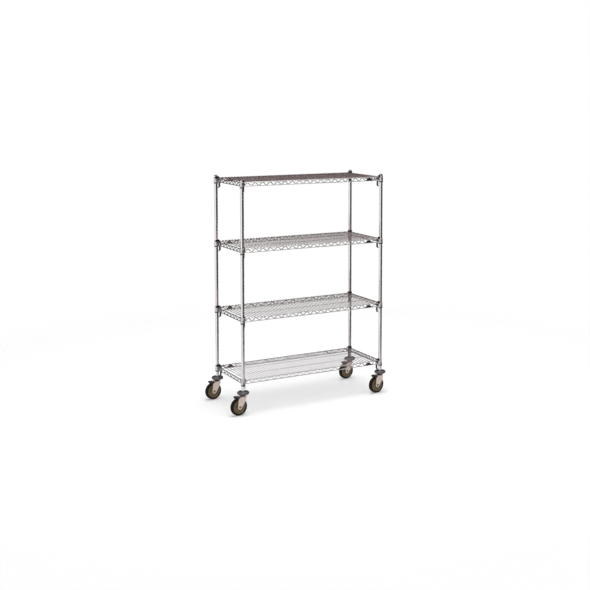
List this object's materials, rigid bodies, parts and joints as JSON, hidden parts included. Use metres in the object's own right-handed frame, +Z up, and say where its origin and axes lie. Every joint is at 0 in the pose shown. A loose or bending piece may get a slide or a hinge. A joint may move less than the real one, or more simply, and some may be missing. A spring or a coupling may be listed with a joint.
{
  "type": "mobile wire shelving rack",
  "caption": "Chrome wire shelving rack on swivel casters, with grooved posts, levelled wire shelves, corner release levers and round donut bumpers.",
  "frame": {"origin": "on the floor, under the centre of the rack's bounding box", "axes": "+Z up, +Y towards the rear long side, +X along the long side to the right"},
  "size_m": [1.3158, 0.573, 1.724],
  "materials": {
    "post_chrome": "bright chrome plate with rolled grooves",
    "wire_chrome": "nickel-chrome plated wire, slightly warm and satin",
    "cap_grey": "moulded grey plastic",
    "lever_black": "moulded black plastic",
    "badge_navy": "plain blank badge, dark navy",
    "zinc_steel": "zinc plated pressed steel, warm",
    "bolt_steel": "plated fastener",
    "bumper_rubber": "dark grey non-marking rubber",
    "core_plastic": "olive moulded wheel core",
    "tyre_rubber": "near-black resilient tread"
  },
  "bodies": {
    "root": {"post_front_left": "post_chrome", "post_cap_front_left": "cap_grey", "caster_stem_front_left": "zinc_steel", "caster_bumper_front_left": "bumper_rubber", "post_front_right": "post_chrome", "post_cap_front_right": "cap_grey", "caster_stem_front_right": "zinc_steel", "caster_bumper_front_right": "bumper_rubber", "post_rear_left": "post_chrome", "post_cap_rear_left": "cap_grey", "caster_stem_rear_left": "zinc_steel", "caster_bumper_rear_left": "bumper_rubber", "post_rear_right": "post_chrome", "post_cap_rear_right": "cap_grey", "caster_stem_rear_right": "zinc_steel", "caster_bumper_rear_right": "bumper_rubber", "shelf_top": "wire_chrome", "shelf_upper": "wire_chrome", "shelf_lower": "wire_chrome", "shelf_bottom": "wire_chrome"},
    "lever_top_front_left": {"release_lever_top_front_left": "lever_black"},
    "lever_top_front_right": {"release_lever_top_front_right": "lever_black"},
    "lever_top_rear_left": {"release_lever_top_rear_left": "lever_black"},
    "lever_top_rear_right": {"release_lever_top_rear_right": "lever_black"},
    "lever_upper_front_left": {"release_lever_upper_front_left": "lever_black"},
    "lever_upper_front_right": {"release_lever_upper_front_right": "lever_black"},
    "lever_upper_rear_left": {"release_lever_upper_rear_left": "lever_black"},
    "lever_upper_rear_right": {"release_lever_upper_rear_right": "lever_black"},
    "lever_lower_front_left": {"release_lever_lower_front_left": "lever_black"},
    "lever_lower_front_right": {"release_lever_lower_front_right": "lever_black"},
    "lever_lower_rear_left": {"release_lever_lower_rear_left": "lever_black"},
    "lever_lower_rear_right": {"release_lever_lower_rear_right": "lever_black"},
    "lever_bottom_front_left": {"release_lever_bottom_front_left": "lever_black"},
    "lever_bottom_front_right": {"release_lever_bottom_front_right": "lever_black"},
    "lever_bottom_rear_left": {"release_lever_bottom_rear_left": "lever_black"},
    "lever_bottom_rear_right": {"release_lever_bottom_rear_right": "lever_black"},
    "fork_front_left": {"caster_fork_front_left": "zinc_steel", "axle_bolt_front_left": "bolt_steel", "axle_nut_front_left": "bolt_steel"},
    "wheel_front_left": {"wheel_hub_front_left": "core_plastic", "tyre_front_left": "tyre_rubber"},
    "brake_front_left": {"brake_pedal_front_left": "lever_black"},
    "fork_front_right": {"caster_fork_front_right": "zinc_steel", "axle_bolt_front_right": "bolt_steel", "axle_nut_front_right": "bolt_steel"},
    "wheel_front_right": {"wheel_hub_front_right": "core_plastic", "tyre_front_right": "tyre_rubber"},
    "brake_front_right": {"brake_pedal_front_right": "lever_black"},
    "fork_rear_left": {"caster_fork_rear_left": "zinc_steel", "axle_bolt_rear_left": "bolt_steel", "axle_nut_rear_left": "bolt_steel"},
    "wheel_rear_left": {"wheel_hub_rear_left": "core_plastic", "tyre_rear_left": "tyre_rubber"},
    "brake_rear_left": {"brake_pedal_rear_left": "lever_black"},
    "fork_rear_right": {"caster_fork_rear_right": "zinc_steel", "axle_bolt_rear_right": "bolt_steel", "axle_nut_rear_right": "bolt_steel"},
    "wheel_rear_right": {"wheel_hub_rear_right": "core_plastic", "tyre_rear_right": "tyre_rubber"},
    "brake_rear_right": {"brake_pedal_rear_right": "lever_black"}
  },
  "joints": [
    {"name": "lever_top_front_left_lift", "type": "hinge", "parent": "root", "child": "lever_top_front_left", "pos_m": [-0.5358, -0.2215, 1.6768], "axis": [0.7071, -0.7071, 0], "range_deg": [0, 85]},
    {"name": "lever_top_front_right_lift", "type": "hinge", "parent": "root", "child": "lever_top_front_right", "pos_m": [0.593, -0.2215, 1.6768], "axis": [0.7071, 0.7071, 0], "range_deg": [0, 85]},
    {"name": "lever_top_rear_left_lift", "type": "hinge", "parent": "root", "child": "lever_top_rear_left", "pos_m": [-0.5358, 0.2215, 1.6768], "axis": [-0.7071, -0.7071, 0], "range_deg": [0, 85]},
    {"name": "lever_top_rear_right_lift", "type": "hinge", "parent": "root", "child": "lever_top_rear_right", "pos_m": [0.593, 0.2215, 1.6768], "axis": [-0.7071, 0.7071, 0], "range_deg": [0, 85]},
    {"name": "lever_upper_front_left_lift", "type": "hinge", "parent": "root", "child": "lever_upper_front_left", "pos_m": [-0.5358, -0.2215, 1.1942], "axis": [0.7071, -0.7071, 0], "range_deg": [0, 85]},
    {"name": "lever_upper_front_right_lift", "type": "hinge", "parent": "root", "child": "lever_upper_front_right", "pos_m": [0.593, -0.2215, 1.1942], "axis": [0.7071, 0.7071, 0], "range_deg": [0, 85]},
    {"name": "lever_upper_rear_left_lift", "type": "hinge", "parent": "root", "child": "lever_upper_rear_left", "pos_m": [-0.5358, 0.2215, 1.1942], "axis": [-0.7071, -0.7071, 0], "range_deg": [0, 85]},
    {"name": "lever_upper_rear_right_lift", "type": "hinge", "parent": "root", "child": "lever_upper_rear_right", "pos_m": [0.593, 0.2215, 1.1942], "axis": [-0.7071, 0.7071, 0], "range_deg": [0, 85]},
    {"name": "lever_lower_front_left_lift", "type": "hinge", "parent": "root", "child": "lever_lower_front_left", "pos_m": [-0.5358, -0.2215, 0.6862], "axis": [0.7071, -0.7071, 0], "range_deg": [0, 85]},
    {"name": "lever_lower_front_right_lift", "type": "hinge", "parent": "root", "child": "lever_lower_front_right", "pos_m": [0.593, -0.2215, 0.6862], "axis": [0.7071, 0.7071, 0], "range_deg": [0, 85]},
    {"name": "lever_lower_rear_left_lift", "type": "hinge", "parent": "root", "child": "lever_lower_rear_left", "pos_m": [-0.5358, 0.2215, 0.6862], "axis": [-0.7071, -0.7071, 0], "range_deg": [0, 85]},
    {"name": "lever_lower_rear_right_lift", "type": "hinge", "parent": "root", "child": "lever_lower_rear_right", "pos_m": [0.593, 0.2215, 0.6862], "axis": [-0.7071, 0.7071, 0], "range_deg": [0, 85]},
    {"name": "lever_bottom_front_left_lift", "type": "hinge", "parent": "root", "child": "lever_bottom_front_left", "pos_m": [-0.5358, -0.2215, 0.229], "axis": [0.7071, -0.7071, 0], "range_deg": [0, 85]},
    {"name": "lever_bottom_front_right_lift", "type": "hinge", "parent": "root", "child": "lever_bottom_front_right", "pos_m": [0.593, -0.2215, 0.229], "axis": [0.7071, 0.7071, 0], "range_deg": [0, 85]},
    {"name": "lever_bottom_rear_left_lift", "type": "hinge", "parent": "root", "child": "lever_bottom_rear_left", "pos_m": [-0.5358, 0.2215, 0.229], "axis": [-0.7071, -0.7071, 0], "range_deg": [0, 85]},
    {"name": "lever_bottom_rear_right_lift", "type": "hinge", "parent": "root", "child": "lever_bottom_rear_right", "pos_m": [0.593, 0.2215, 0.229], "axis": [-0.7071, 0.7071, 0], "range_deg": [0, 85]},
    {"name": "caster_front_left_swivel", "type": "hinge", "parent": "root", "child": "fork_front_left", "pos_m": [-0.5556, -0.2413, 0.14], "axis": [0, 0, 1], "continuous": true},
    {"name": "wheel_front_left_spin", "type": "hinge", "parent": "fork_front_left", "child": "wheel_front_left", "pos_m": [-0.59331, -0.24593, 0.0635], "axis": [0.1219, -0.9925, 0], "continuous": true},
    {"name": "brake_front_left_press", "type": "hinge", "parent": "fork_front_left", "child": "brake_front_left", "pos_m": [-0.60721, -0.24764, 0.1325], "axis": [0.1219, -0.9925, 0], "range_deg": [0, 12]},
    {"name": "caster_front_right_swivel", "type": "hinge", "parent": "root", "child": "fork_front_right", "pos_m": [0.6128, -0.2413, 0.14], "axis": [0, 0, 1], "continuous": true},
    {"name": "wheel_front_right_spin", "type": "hinge", "parent": "fork_front_right", "child": "wheel_front_right", "pos_m": [0.57509, -0.24593, 0.0635], "axis": [0.1219, -0.9925, 0], "continuous": true},
    {"name": "brake_front_right_press", "type": "hinge", "parent": "fork_front_right", "child": "brake_front_right", "pos_m": [0.56119, -0.24764, 0.1325], "axis": [0.1219, -0.9925, 0], "range_deg": [0, 12]},
    {"name": "caster_rear_left_swivel", "type": "hinge", "parent": "root", "child": "fork_rear_left", "pos_m": [-0.5556, 0.2413, 0.14], "axis": [0, 0, 1], "continuous": true},
    {"name": "wheel_rear_left_spin", "type": "hinge", "parent": "fork_rear_left", "child": "wheel_rear_left", "pos_m": [-0.59331, 0.23667, 0.0635], "axis": [0.1219, -0.9925, 0], "continuous": true},
    {"name": "brake_rear_left_press", "type": "hinge", "parent": "fork_rear_left", "child": "brake_rear_left", "pos_m": [-0.60721, 0.23496, 0.1325], "axis": [0.1219, -0.9925, 0], "range_deg": [0, 12]},
    {"name": "caster_rear_right_swivel", "type": "hinge", "parent": "root", "child": "fork_rear_right", "pos_m": [0.6128, 0.2413, 0.14], "axis": [0, 0, 1], "continuous": true},
    {"name": "wheel_rear_right_spin", "type": "hinge", "parent": "fork_rear_right", "child": "wheel_rear_right", "pos_m": [0.57509, 0.23667, 0.0635], "axis": [0.1219, -0.9925, 0], "continuous": true},
    {"name": "brake_rear_right_press", "type": "hinge", "parent": "fork_rear_right", "child": "brake_rear_right", "pos_m": [0.56119, 0.23496, 0.1325], "axis": [0.1219, -0.9925, 0], "range_deg": [0, 12]}
  ]
}
